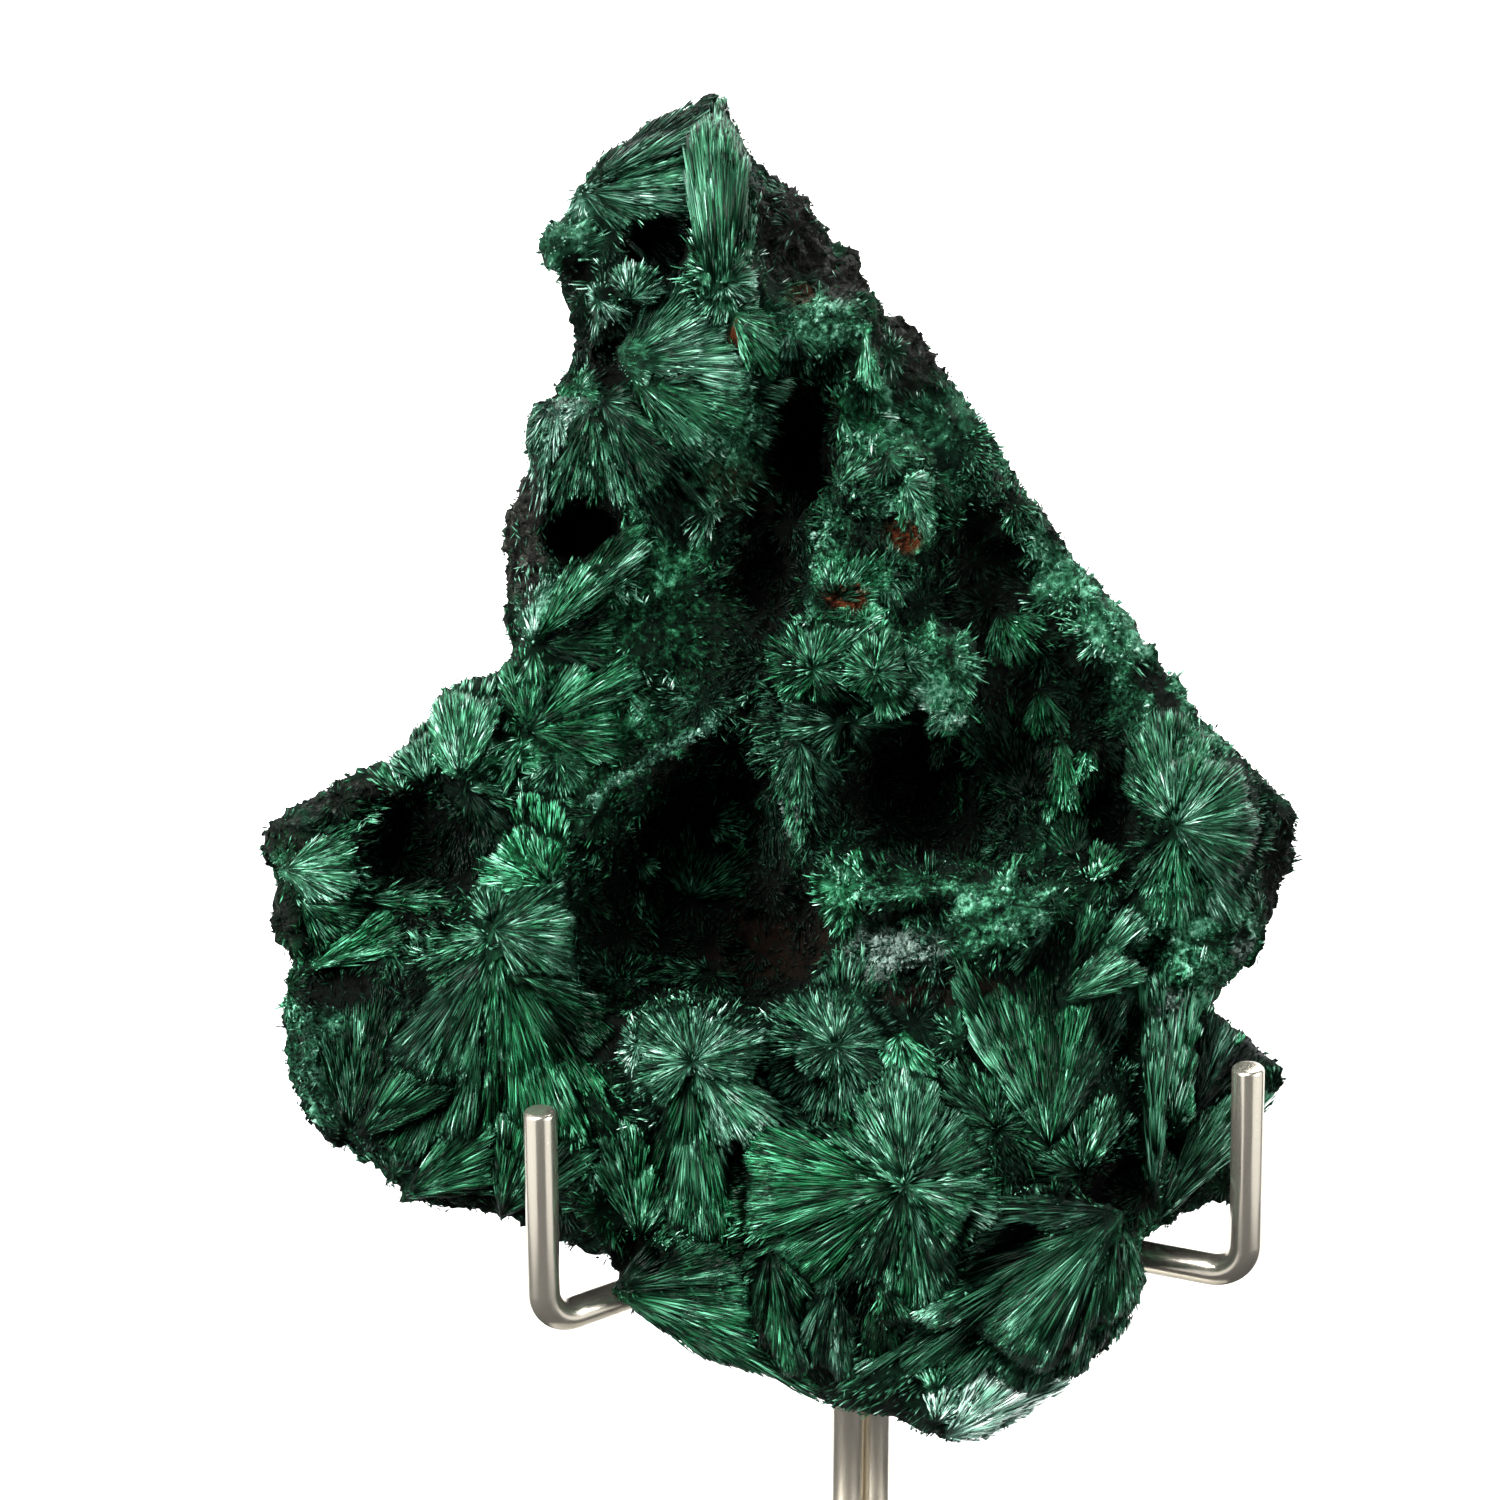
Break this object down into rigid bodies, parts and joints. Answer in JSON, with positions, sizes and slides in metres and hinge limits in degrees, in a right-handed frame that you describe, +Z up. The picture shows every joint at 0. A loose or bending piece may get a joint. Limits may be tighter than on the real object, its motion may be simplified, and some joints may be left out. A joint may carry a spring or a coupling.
{
  "type": "mineral specimen on display stand",
  "caption": "Fibrous malachite specimen with radiating sprays and open cavities, resting on a bent-wire display stand with a round base plate.",
  "frame": {"origin": "centre of the base plate's underside, on the axis of the wire post", "axes": "+Z up through the post; the stone's fibrous face looks toward -Y; +X is to the viewer's right"},
  "size_m": [0.0787, 0.0676, 0.1363],
  "materials": {
    "malachite": "silky fibrous, dark green with near-black hollows",
    "steel_wire": "satin",
    "steel_plate": "satin"
  },
  "bodies": {
    "root": {"malachite": "malachite", "left_wire": "steel_wire", "right_wire": "steel_wire", "rear_wire": "steel_wire", "base": "steel_plate"}
  },
  "joints": []
}
